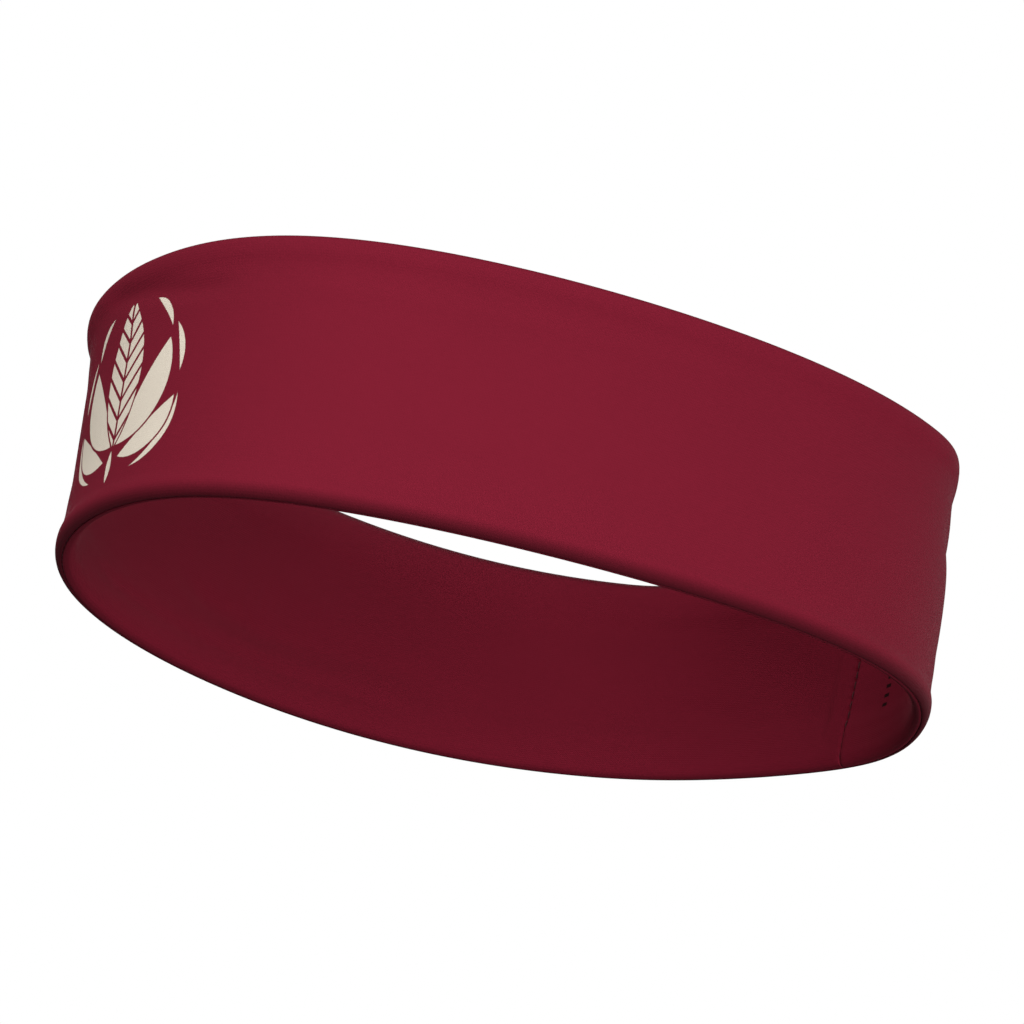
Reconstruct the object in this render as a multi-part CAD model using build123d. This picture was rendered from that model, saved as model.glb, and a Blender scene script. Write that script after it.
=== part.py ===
"""Stretch headband: two knit layers sewn edge to edge and closed at the back.

Frame: +Z up as worn, the front faces -Y, the band stands on its lower edge at Z = 0.
The plan of the loop is an egg of four tangent arcs. Every ring-shaped piece is one wall
section carried round those arcs, and every piece at the back seams is a short sector of
the back arc, so all of them follow the same wall.
"""
from build123d import *
import os
from dataclasses import dataclass
from math import acos, degrees, sqrt

# ---- driving dimensions, mm ---------------------------------------------------------
BAND_HEIGHT = 54.0                      # lower edge to top edge
LOOP_LENGTH = 208.0                     # front to back, at mid height and mid thickness
LOOP_WIDTH = 151.5                      # side to side, likewise
FRONT_RADIUS = 0.415 * LOOP_WIDTH       # plan radius across the forehead
BACK_RADIUS = 0.458 * LOOP_WIDTH        # plan radius round the back of the head
WALL_LEAN = 5.5                         # the top edge stands this much further out
EDGE_FLARE = 2.0                        # each edge curls out by this much
FLARE_REACH = 0.28 * BAND_HEIGHT        # height of wall over which it curls

FABRIC = 0.75                           # knit thickness
PLY_GAP = 0.12                          # air left between plies
LOOPER = 0.2                            # thickness of the looper threads round a raw edge
THREAD = 0.3                            # needle thread
EDGE_ALLOWANCE = BAND_HEIGHT / 6        # cloth turned in at the top and the lower edge
EDGE_LOOPER_LEG = 0.3 * EDGE_ALLOWANCE  # how far the looper threads reach down from a raw edge
SEAM_ALLOWANCE = 5.5                    # cloth turned in at a back seam
SEAM_SLIT = 0.7                         # between the two sewn ends of a strip
OUTER_SEAM_AT = 2.6                     # outer seam, along the back from the lining's seam
CREST_RADIUS = 1.25                     # outer corner of an edge

STITCH_LENGTH = 1.8
STITCH_PITCH = 2.6

LABEL_CLOTH = 0.25                      # satin ribbon thickness
LABEL_HEIGHT = 0.28 * BAND_HEIGHT
LABEL_HIGH = 0.89 * BAND_HEIGHT         # upper side of the label above the lower edge
LABEL_STUB = 6.0                        # seam to perforated line
LABEL_LENGTH = 30.0                     # perforated line to free end
LABEL_STANDOFF = 0.35                   # lining to label
PERFORATION_GAP = 0.6
PERFORATION_PITCH = 2.0

# ---- derived: how the plies stack across the wall -------------------------------------
# Outward distance from the middle of the wall. The same stack serves every seam:
# turned-in ply, turned-in ply, looper thread each side, then the two layers' walls.
PLY_NEAR = PLY_GAP / 2
PLY_FAR = PLY_NEAR + FABRIC
LOOP_NEAR = PLY_FAR + PLY_GAP
LOOP_FAR = LOOP_NEAR + LOOPER
WALL_NEAR = LOOP_FAR + 1.5 * PLY_GAP
WALL_FAR = WALL_NEAR + FABRIC

SEAM_LOW = EDGE_ALLOWANCE + PLY_GAP + LOOPER + 0.5      # back seam plies clear both edges
SEAM_HIGH = BAND_HEIGHT - SEAM_LOW
LABEL_LOW = LABEL_HIGH - LABEL_HEIGHT
TAIL_HIGH = BAND_HEIGHT - EDGE_ALLOWANCE - EDGE_LOOPER_LEG - 2 * PLY_GAP


@dataclass(frozen=True)
class Arc:
    """One arc of the plan: centre, radius, and its two ends as angles from +X in degrees."""

    cx: float
    cy: float
    radius: float
    start: float
    end: float


def side_radius():
    """Radius of the two side arcs that join the front and the back arc with no corner."""
    half = LOOP_WIDTH / 2
    span = LOOP_LENGTH - FRONT_RADIUS - BACK_RADIUS

    def reach(radius, end_radius):
        return sqrt(max(end_radius**2 - half**2 + 2 * radius * (half - end_radius), 0.0))

    low, high = half, 100 * half
    for _ in range(80):
        middle = (low + high) / 2
        if reach(middle, FRONT_RADIUS) + reach(middle, BACK_RADIUS) < span:
            low = middle
        else:
            high = middle
    return low, reach(low, FRONT_RADIUS)


SIDE_RADIUS, SIDE_REACH = side_radius()
FRONT_CENTRE = -LOOP_LENGTH / 2 + FRONT_RADIUS
BACK_CENTRE = LOOP_LENGTH / 2 - BACK_RADIUS
SIDE_CENTRE_Y = FRONT_CENTRE + SIDE_REACH
SIDE_CENTRE_X = SIDE_RADIUS - LOOP_WIDTH / 2
FRONT_JOIN = degrees(acos((SIDE_CENTRE_Y - FRONT_CENTRE) / (SIDE_RADIUS - FRONT_RADIUS)))
BACK_JOIN = degrees(acos((BACK_CENTRE - SIDE_CENTRE_Y) / (SIDE_RADIUS - BACK_RADIUS)))


def back_angle(along):
    """Angle on the back arc of a point some way along it from the lining's seam, +X positive."""
    return 90 - degrees(along / BACK_RADIUS)


def lean(z):
    """Outward distance of the middle of the wall from its place at mid height."""
    out = WALL_LEAN * (z / BAND_HEIGHT - 0.5)
    from_edge = min(z, BAND_HEIGHT - z)
    if from_edge < FLARE_REACH:
        out += EDGE_FLARE * (1 - from_edge / FLARE_REACH) ** 2
    return out


def slope(z):
    """Change of lean with height."""
    rise = WALL_LEAN / BAND_HEIGHT
    if z < FLARE_REACH:
        rise -= 2 * EDGE_FLARE / FLARE_REACH * (1 - z / FLARE_REACH)
    elif z > BAND_HEIGHT - FLARE_REACH:
        rise += 2 * EDGE_FLARE / FLARE_REACH * (1 - (BAND_HEIGHT - z) / FLARE_REACH)
    return rise


def follow(offset, z0, z1):
    """Edges that follow the wall at one offset, from height z0 to height z1."""
    breaks = sorted({z0, z1} | {z for z in (FLARE_REACH, BAND_HEIGHT - FLARE_REACH)
                                if min(z0, z1) < z < max(z0, z1)}, reverse=z1 < z0)
    edges = []
    for a, b in zip(breaks, breaks[1:]):
        start, finish = (offset + lean(a), a), (offset + lean(b), b)
        middle = (a + b) / 2
        if FLARE_REACH <= middle <= BAND_HEIGHT - FLARE_REACH:
            edges.append(Line(start, finish))
        else:
            inside = a + (b - a) * 1e-6
            control = (start[0] + slope(inside) * (b - a) / 2, middle)
            edges.append(Bezier(start, control, finish))
    return edges


def across(z, offset0, offset1):
    """Straight edge across the wall at one height."""
    return [Line((offset0 + lean(z), z), (offset1 + lean(z), z))]


def crest(side, z_wall, z_edge):
    """Rounded corner between a layer's outer face and the flat of its edge."""
    start = (side * WALL_FAR + lean(z_wall), z_wall)
    control = (side * WALL_FAR + lean(z_edge), z_edge)
    finish = (side * (WALL_FAR - CREST_RADIUS) + lean(z_edge), z_edge)
    return [Bezier(start, control, finish)]


def strip(offset0, offset1, z0, z1):
    """Section of a plain ply between two offsets and two heights."""
    return make_face(across(z0, offset0, offset1) + follow(offset1, z0, z1)
                     + across(z1, offset1, offset0) + follow(offset0, z1, z0))


def flat_strip(offset0, offset1, z0, z1):
    """Section of a ply that keeps to the wall's lean but not to its curl."""
    corners = [(offset + WALL_LEAN * (z / BAND_HEIGHT - 0.5), z)
               for offset, z in ((offset0, z0), (offset1, z0), (offset1, z1), (offset0, z1))]
    return make_face(Polyline(*corners, close=True).edges())


def layer_section(side):
    """Section of a layer: wall, both edges, and the cloth turned in behind them.

    side is +1 for the outer layer and -1 for the lining.
    """
    near, far = side * PLY_NEAR, side * PLY_FAR
    inner = side * WALL_NEAR
    top, fold = BAND_HEIGHT, FABRIC
    flat = side * (WALL_FAR - CREST_RADIUS)
    up = follow(side * WALL_FAR, CREST_RADIUS, top - CREST_RADIUS)
    outline = up + crest(side, top - CREST_RADIUS, top)
    outline += across(top, flat, near) + follow(near, top, top - EDGE_ALLOWANCE)
    outline += across(top - EDGE_ALLOWANCE, near, far)
    outline += follow(far, top - EDGE_ALLOWANCE, top - fold) + across(top - fold, far, inner)
    outline += follow(inner, top - fold, fold) + across(fold, inner, far)
    outline += follow(far, fold, EDGE_ALLOWANCE) + across(EDGE_ALLOWANCE, far, near)
    outline += follow(near, EDGE_ALLOWANCE, 0) + across(0, near, flat)
    outline += crest(side, CREST_RADIUS, 0)
    return make_face(outline)


def turn(section, arc):
    """Carry a section along one arc of the plan."""
    upright = Plane.XZ * (Pos(arc.radius, 0, 0) * section)
    placed = Pos(arc.cx, arc.cy, 0) * Rot(0, 0, arc.start) * upright
    axis = Axis((arc.cx, arc.cy, 0), (0, 0, 1))
    return revolve(placed, axis=axis, revolution_arc=arc.end - arc.start)


def ring(section, seam_at=0.0, slit=0.0):
    """Carry a section all round the loop, open by a slit on the back arc if one is given."""
    right = back_angle(seam_at + slit / 2)
    left = back_angle(seam_at - slit / 2)
    arcs = [
        Arc(0, BACK_CENTRE, BACK_RADIUS, left, 90 + BACK_JOIN),
        Arc(SIDE_CENTRE_X, SIDE_CENTRE_Y, SIDE_RADIUS, 90 + BACK_JOIN, 270 - FRONT_JOIN),
        Arc(0, FRONT_CENTRE, FRONT_RADIUS, 270 - FRONT_JOIN, 270 + FRONT_JOIN),
        Arc(-SIDE_CENTRE_X, SIDE_CENTRE_Y, SIDE_RADIUS, 270 + FRONT_JOIN, 450 - BACK_JOIN),
        Arc(0, BACK_CENTRE, BACK_RADIUS, 90 - BACK_JOIN, right),
    ]
    pieces = [turn(section, arc) for arc in arcs]
    return pieces[0].fuse(*pieces[1:]) if slit == 0 else joined(pieces)


def joined(pieces):
    """One solid made of pieces that share faces."""
    whole = pieces[0]
    for piece in pieces[1:]:
        whole = whole + piece
    return whole


def sector(section, along0, along1):
    """Carry a section over part of the back arc, between two distances along it."""
    low, high = sorted((back_angle(along0), back_angle(along1)))
    return turn(section, Arc(0, BACK_CENTRE, BACK_RADIUS, low, high))


def turned_ends(side, seam_at):
    """The two ends of a strip, turned into the wall and laid flat to one side of the seam.

    The end on the far side crosses under the slit, and the other folds straight back.
    side is +1 for the outer layer, whose ends lie towards +X, and -1 for the lining.
    """
    half = SEAM_SLIT / 2
    free = seam_at + side * SEAM_ALLOWANCE
    lip = strip(side * PLY_NEAR, side * WALL_FAR, SEAM_LOW, SEAM_HIGH)
    upper = strip(side * PLY_NEAR, side * PLY_FAR, SEAM_LOW, SEAM_HIGH)
    deep_lip = strip(-side * PLY_FAR, side * WALL_FAR, SEAM_LOW, SEAM_HIGH)
    lower = strip(-side * PLY_FAR, -side * PLY_NEAR, SEAM_LOW, SEAM_HIGH)
    return [
        sector(lip, seam_at + side * half, seam_at + side * (half + FABRIC)),
        sector(upper, seam_at + side * half, free),
        sector(deep_lip, seam_at - side * (half + FABRIC), seam_at - side * half),
        sector(lower, seam_at - side * (half + FABRIC), free),
    ]


def layer(side, seam_at):
    """A knit layer: one strip closed to a loop, its ends and edges turned in."""
    return joined([ring(layer_section(side), seam_at, SEAM_SLIT)] + turned_ends(side, seam_at))


def edge_needle_thread(z):
    """Needle thread of an edge seam, running round the loop on both turned-in plies."""
    low, high = z - THREAD / 2, z + THREAD / 2
    return [ring(strip(side * LOOP_NEAR, side * (LOOP_NEAR + LOOPER), low, high))
            for side in (1, -1)]


def looper_section(z_raw, inward):
    """Section of the looper threads that wrap a raw edge: a web over it and two legs."""
    web0, web1 = z_raw + inward * PLY_GAP, z_raw + inward * (PLY_GAP + LOOPER)
    foot = z_raw - inward * EDGE_LOOPER_LEG
    outline = across(web1, -LOOP_FAR, LOOP_FAR) + follow(LOOP_FAR, web1, foot)
    outline += across(foot, LOOP_FAR, LOOP_NEAR) + follow(LOOP_NEAR, foot, web0)
    outline += across(web0, LOOP_NEAR, -LOOP_NEAR) + follow(-LOOP_NEAR, web0, foot)
    outline += across(foot, -LOOP_NEAR, -LOOP_FAR) + follow(-LOOP_FAR, foot, web1)
    return make_face(outline)


def back_looper(side, seam_at):
    """Looper threads round the free ends of a back seam's two plies."""
    free = seam_at + side * SEAM_ALLOWANCE
    leg = 0.4 * SEAM_ALLOWANCE
    web0, web1 = free + side * PLY_GAP, free + side * (PLY_GAP + LOOPER)
    web = strip(-LOOP_FAR, LOOP_FAR, SEAM_LOW, SEAM_HIGH)
    legs = [strip(s * LOOP_NEAR, s * LOOP_FAR, SEAM_LOW, SEAM_HIGH) for s in (1, -1)]
    return joined([sector(web, web0, web1)] + [sector(leg_strip, free - side * leg, web1)
                                               for leg_strip in legs])


def back_needle(side, seam_at, shift):
    """Needle thread of a back seam: a row of stitches sunk in the slit between the ends."""
    count = int((BAND_HEIGHT - 2 * EDGE_ALLOWANCE) / STITCH_PITCH)
    first = BAND_HEIGHT / 2 - (count - 1) * STITCH_PITCH / 2
    outer, inner = side * (WALL_FAR - 0.15), side * (WALL_FAR - 0.15 - THREAD)
    stitches = []
    for i in range(count):
        low = first + i * STITCH_PITCH - STITCH_LENGTH / 2
        bar = strip(inner, outer, low, low + STITCH_LENGTH)
        stitches.append(sector(bar, seam_at + shift - 0.12, seam_at + shift + 0.12))
    return stitches


def perforated(ribbon, along, low, high):
    """Bite a row of small notches out of a ribbon edge that lies at one place along the back."""
    notches = []
    z = low + PERFORATION_PITCH
    while z < high - PERFORATION_PITCH / 2:
        bite = flat_strip(-WALL_FAR - 2 * LABEL_STANDOFF - LABEL_CLOTH, -WALL_FAR - LABEL_STANDOFF / 2,
                          z - PERFORATION_PITCH / 4, z + PERFORATION_PITCH / 4)
        notches.append(sector(bite, along - PERFORATION_GAP / 2, along + PERFORATION_GAP / 2))
        z += PERFORATION_PITCH
    for notch in notches:
        ribbon = ribbon - notch
    return ribbon


def care_label_pieces():
    """The stub whose tail is caught in the lining's seam, and the label that tears off it."""
    low, high = LABEL_LOW, LABEL_HIGH
    face = -WALL_FAR - LABEL_STANDOFF
    lying = flat_strip(face - LABEL_CLOTH, face, low, high)
    caught = flat_strip(face - LABEL_CLOTH, -PLY_GAP, low, TAIL_HIGH)
    start = 0.04
    stub_end = LABEL_STUB - PERFORATION_GAP / 2
    label_start = LABEL_STUB + PERFORATION_GAP / 2
    stub = joined([sector(caught, start, start + LABEL_CLOTH), sector(lying, start, stub_end)])
    label = sector(lying, label_start, label_start + LABEL_LENGTH)
    return perforated(stub, stub_end, low, high), perforated(label, label_start, low, high)


def solids_of(shapes):
    """Every solid in a list of shapes, as one group."""
    found = [solid for shape in shapes for solid in shape.solids()]
    return found[0] if len(found) == 1 else Compound(children=found)


def build():
    """Every piece of the band, by node name."""
    raw_low, raw_high = EDGE_ALLOWANCE, BAND_HEIGHT - EDGE_ALLOWANCE
    stub, label = care_label_pieces()
    return {
        "outer_layer": [layer(1, OUTER_SEAM_AT)],
        "lining": [layer(-1, 0.0)],
        "top_edge_needle_thread": edge_needle_thread(BAND_HEIGHT - 0.5 * EDGE_ALLOWANCE),
        "top_edge_looper_threads": [ring(looper_section(raw_high, -1))],
        "lower_edge_needle_thread": edge_needle_thread(0.5 * EDGE_ALLOWANCE),
        "lower_edge_looper_threads": [ring(looper_section(raw_low, 1))],
        "outer_back_needle_thread": back_needle(1, OUTER_SEAM_AT, 0.0),
        "outer_back_looper_threads": [back_looper(1, OUTER_SEAM_AT)],
        "lining_back_needle_thread": back_needle(-1, 0.0, -0.15),
        "lining_back_looper_threads": [back_looper(-1, 0.0)],
        "care_label_stub": [stub],
        "care_label": [label],
    }


os.makedirs("parts", exist_ok=True)
for node, shapes in build().items():
    export_step(solids_of(shapes), f"parts/{node}.step")
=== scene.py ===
"""A wide stretch-knit headband: two jersey layers sewn into a loop, with a plant crest dyed on the front."""

import logging
import math
from dataclasses import dataclass, field
from enum import Enum
from typing import Any, Sequence

import bpy
import numpy as np
from mathutils import Matrix, Vector


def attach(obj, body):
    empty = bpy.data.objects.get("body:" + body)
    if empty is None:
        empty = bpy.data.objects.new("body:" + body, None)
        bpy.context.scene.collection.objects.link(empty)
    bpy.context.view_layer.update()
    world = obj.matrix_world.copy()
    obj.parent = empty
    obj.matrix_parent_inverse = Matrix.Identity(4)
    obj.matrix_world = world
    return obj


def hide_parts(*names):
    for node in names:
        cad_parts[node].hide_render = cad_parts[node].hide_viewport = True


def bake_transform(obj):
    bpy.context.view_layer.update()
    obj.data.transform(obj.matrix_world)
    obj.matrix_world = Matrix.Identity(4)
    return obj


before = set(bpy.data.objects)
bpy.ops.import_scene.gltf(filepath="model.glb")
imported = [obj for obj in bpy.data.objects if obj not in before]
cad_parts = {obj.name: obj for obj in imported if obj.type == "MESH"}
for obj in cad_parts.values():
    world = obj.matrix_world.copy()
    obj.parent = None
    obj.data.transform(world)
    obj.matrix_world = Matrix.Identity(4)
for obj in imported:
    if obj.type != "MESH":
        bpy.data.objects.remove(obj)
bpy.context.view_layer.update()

LOG = logging.getLogger("headband")
MM = 0.001
Array = np.ndarray
Socket = bpy.types.NodeSocket
Colour = tuple[float, float, float]
Point2 = tuple[float, float]


def shade(red: int, green: int, blue: int) -> Colour:
    """Turn a screen colour of 0 to 255 a channel into linear light."""
    parts = (c / 255 for c in (red, green, blue))
    return tuple(c / 12.92 if c <= 0.04045 else ((c + 0.055) / 1.055) ** 2.4 for c in parts)


def ease(value: Array | float) -> Array:
    """Smooth step from 0 to 1."""
    t = np.clip(value, 0.0, 1.0)
    return t * t * (3 - 2 * t)


def through(value: Array, knots: Sequence[Point2]) -> Array:
    """Pass smoothly through (place, amount) knots.

    Args:
        value: places to read at.
        knots: places in rising order, each with its amount.

    Returns:
        The amounts at those places, level at every knot.
    """
    places = np.array([k[0] for k in knots])
    amounts = np.array([k[1] for k in knots])
    low = np.clip(np.searchsorted(places, value, "right") - 1, 0, len(knots) - 2)
    step = (value - places[low]) / (places[low + 1] - places[low])
    return amounts[low] + (amounts[low + 1] - amounts[low]) * ease(step)


class Side(Enum):
    """Which layer of the band, by the sign of its depth across the wall."""

    OUTER = 1
    LINING = -1


class Body(str, Enum):
    """The moving bodies of the frame."""

    BAND = "band"
    SEAM = "back_seam"
    LABEL = "care_label"


class Slot(str, Enum):
    """The record's material slots."""

    OUTER_KNIT = "outer_knit"
    LINING_KNIT = "lining_knit"
    NEEDLE = "needle_thread"
    LOOPER = "looper_thread"
    RIBBON = "label_ribbon"


class Nodes:
    """Short calls that add and join the nodes of one tree."""

    def __init__(self, tree: bpy.types.NodeTree) -> None:
        """Keep the tree that the nodes go into."""
        self.tree = tree

    def feed(self, socket: Socket, value: Any) -> None:
        """Join a socket to another, or set its own value."""
        if isinstance(value, bpy.types.NodeSocket):
            self.tree.links.new(value, socket)
        else:
            socket.default_value = value

    def add(self, kind: str, feeds: dict[str | int, Any] | None = None, **settings: Any) -> bpy.types.Node:
        """Add one node.

        Args:
            kind: the node's type name.
            feeds: inputs by name or number, each a socket or a value.
            **settings: the node's own properties.

        Returns:
            The new node.
        """
        node = self.tree.nodes.new(kind)
        for key, value in settings.items():
            setattr(node, key, value)
        for key, value in (feeds or {}).items():
            self.feed(node.inputs[key], value)
        return node

    def math(self, work: str, *terms: Any, clamp: bool = False) -> Socket:
        """Work out one number from one to three others."""
        return self.add("ShaderNodeMath", dict(enumerate(terms)), operation=work, use_clamp=clamp).outputs[0]

    def less(self, first: Any, second: Any) -> Socket:
        """Take one number from another."""
        return self.math("SUBTRACT", first, second)

    def times(self, first: Any, second: Any) -> Socket:
        """Multiply two numbers."""
        return self.math("MULTIPLY", first, second)

    def scaled(self, value: Any, factor: Any, extra: Any) -> Socket:
        """Multiply by a factor, then add."""
        return self.math("MULTIPLY_ADD", value, factor, extra)

    def off(self, value: Any, middle: Any) -> Socket:
        """How far a number is from a middle."""
        return self.math("ABSOLUTE", self.less(value, middle))

    def wave(self, value: Any, length: float) -> Socket:
        """Sine wave of a given length."""
        return self.math("SINE", self.times(value, 2 * math.pi / length))

    def fold(self, work: str, *terms: Any) -> Socket:
        """Work one operation through several numbers in turn."""
        made = terms[0]
        for term in terms[1:]:
            made = self.math(work, made, term)
        return made

    def ramp(self, value: Any, low: float, high: float) -> Socket:
        """Step smoothly from 0 at low to 1 at high."""
        feeds = {"Value": value, "From Min": low, "From Max": high}
        return self.add("ShaderNodeMapRange", feeds, interpolation_type="SMOOTHSTEP").outputs[0]

    def mix(self, share: Any, first: Any, second: Any) -> Socket:
        """Mix two colours."""
        return self.add("ShaderNodeMix", {0: share, 6: first, 7: second}, data_type="RGBA").outputs[2]

    def noise(self, vector: Any, scale: float, detail: float = 2.0, rough: float = 0.5) -> Socket:
        """Read smooth noise of about 0.5 at a place."""
        feeds = {"Vector": vector, "Scale": scale, "Detail": detail, "Roughness": rough}
        return self.add("ShaderNodeTexNoise", feeds).outputs[0]

    def place(self, x: Any, y: Any, z: Any) -> Socket:
        """Join three numbers into a place."""
        return self.add("ShaderNodeCombineXYZ", {0: x, 1: y, 2: z}).outputs[0]

    def parts(self, place: Any) -> list[Socket]:
        """Split a place into its three numbers."""
        return list(self.add("ShaderNodeSeparateXYZ", {0: place}).outputs)

    def far(self, first: Any, second: Any) -> Socket:
        """Distance between two places."""
        return self.add("ShaderNodeVectorMath", {0: first, 1: second}, operation="DISTANCE").outputs["Value"]

    def toned(self, colour: Colour, tone: Any) -> Socket:
        """Scale a colour by a tone."""
        return self.add("ShaderNodeVectorMath", {0: (*colour,), "Scale": tone}, operation="SCALE").outputs[0]

    def bump(self, height: Any, deep: float, strength: float, over: Socket | None = None) -> Socket:
        """Turn a height, deep in mm, into a normal, over another normal if there is one."""
        feeds = {"Strength": strength, "Distance": deep * MM, "Height": height}
        return self.add("ShaderNodeBump", feeds | ({"Normal": over} if over else {})).outputs[0]

    def skin(self, colour: Any, rough: Any, specular: float, normal: Any, **more: Any) -> None:
        """End a material in one principled surface; words in more are input names with _ for a space."""
        feeds = {"Base Color": colour, "Roughness": rough, "Specular IOR Level": specular, "Normal": normal}
        feeds |= {word.replace("_", " "): value for word, value in more.items()}
        surface = self.add("ShaderNodeBsdfPrincipled", feeds).outputs[0]
        self.add("ShaderNodeOutputMaterial", {"Surface": surface})


def start_material(name: str) -> tuple[bpy.types.Material, Nodes]:
    """Make a material with an empty tree, and the calls that fill it."""
    made = bpy.data.materials.new(name)
    made.use_nodes = True
    made.node_tree.nodes.clear()
    return made, Nodes(made.node_tree)


def link(name: str, data: Any) -> bpy.types.Object:
    """Put a new object with this data into the scene."""
    made = bpy.data.objects.new(name, data)
    bpy.context.scene.collection.objects.link(made)
    return made


# ---------------------------------------------------------------- finishes


@dataclass(frozen=True)
class Leaf:
    """A pointed leaf between two tips, right half only; bend moves its middle sideways."""

    foot: Point2
    tip: Point2
    width: float
    bend: float = 0.0

    def circles(self) -> list[tuple[Point2, float, int]]:
        """The two circles whose overlap is the leaf, or whose difference is when both bend one way."""
        foot, tip = np.array(self.foot), np.array(self.tip)
        middle, half = (foot + tip) / 2, np.linalg.norm(tip - foot) / 2
        along = (tip - foot) / (2 * half)
        across = np.array([along[1], -along[0]])
        made = []
        for rise, way in ((self.bend + self.width / 2, 1), (self.bend - self.width / 2, -1)):
            radius = (half * half + rise * rise) / (2 * abs(rise))
            turn = math.copysign(1.0, rise)
            centre = middle - across * turn * (radius - abs(rise))
            made.append(((float(centre[0]), float(centre[1])), radius, int(way * turn)))
        return made


@dataclass(frozen=True)
class PlantCrest:
    """The dyed crest: a leafy sprig between thin curved strokes, alike on both sides."""

    middle: Point2 = (0.0, 26.6)
    colour: Colour = shade(243, 231, 213)
    soft_edge: float = 0.09
    bleed: float = 0.16
    vein_pitch: float = 4.3
    vein_gap: float = 0.75
    vein_slant: float = 1.05
    vein_squeeze: float = 0.69
    part: float = 0.5
    veined: Leaf = Leaf((0.0, -12.6), (0.0, 20.3), 12.4)
    leaves: tuple[Leaf, ...] = (
        Leaf((1.2, -12.2), (14.6, 8.6), 8.2, 3.0),
        Leaf((3.0, -15.2), (18.4, -4.6), 5.4, 2.4),
        Leaf((14.6, 11.2), (8.4, 18.6), 1.6, 1.2),
        Leaf((18.9, 0.8), (16.2, 11.6), 1.5, 0.9),
        Leaf((8.4, -18.4), (19.4, -4.4), 1.6, 3.0),
        Leaf((0.0, -20.4), (0.0, -13.4), 1.7),
    )

    def edge(self, nodes: Nodes, leaf: Leaf, place: Any) -> Socket:
        """Distance outside a leaf's outline, below 0 inside it."""
        sides = []
        for (x, y), radius, way in leaf.circles():
            out = nodes.less(nodes.far(place, (x, y, 0.0)), radius)
            sides.append(out if way > 0 else nodes.times(out, -1.0))
        return nodes.math("MAXIMUM", *sides)

    def mask(self, nodes: Nodes, run: Any, level: Any, grain: Any) -> Socket:
        """Where the dye is, 1 inside the crest and 0 outside.

        Args:
            nodes: the material's tree.
            run: distance along the band from its front, in mm.
            level: height on the band, in mm.
            grain: noise of about 0 that roughens the outline.

        Returns:
            The share of dye.
        """
        wide = nodes.off(run, self.middle[0])
        high = nodes.less(level, self.middle[1])
        place = nodes.place(wide, high, 0.0)
        slanted = nodes.scaled(wide, -self.vein_slant, high)
        cell = nodes.math("FRACT", nodes.math("DIVIDE", slanted, self.vein_pitch))
        beside = nodes.times(nodes.off(cell, 0.5), self.vein_pitch * self.vein_squeeze)
        vein, midrib = (nodes.less(self.vein_gap / 2, gap) for gap in (beside, wide))
        covered = self.edge(nodes, self.veined, place)
        drawn = nodes.fold("MAXIMUM", covered, vein, midrib)
        for leaf in self.leaves:
            outline = self.edge(nodes, leaf, place)
            clear = nodes.less(self.part, covered)
            drawn = nodes.math("MINIMUM", drawn, nodes.math("MAXIMUM", outline, clear))
            covered = nodes.math("MINIMUM", covered, outline)
        return nodes.ramp(nodes.scaled(grain, self.bleed, drawn), self.soft_edge, -self.soft_edge)


@dataclass(frozen=True)
class SizeDashes:
    """Four plain dashes stamped beside the lining's seam, in place of a size mark."""

    run: float = 271.5
    lowest: float = 13.6
    pitch: float = 2.5
    count: int = 4
    half_width: float = 1.15
    half_height: float = 0.5
    soft_edge: float = 0.12
    colour: Colour = shade(34, 8, 12)

    def mask(self, nodes: Nodes, run: Any, level: Any) -> Socket:
        """Where the dashes are, 1 on them and 0 off them."""
        aside = nodes.less(nodes.off(run, self.run), self.half_width)
        middles = (self.lowest + step * self.pitch for step in range(self.count))
        made = [nodes.math("MAXIMUM", aside, nodes.less(nodes.off(level, middle), self.half_height))
                for middle in middles]
        return nodes.ramp(nodes.fold("MINIMUM", *made), self.soft_edge, -self.soft_edge)


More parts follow.
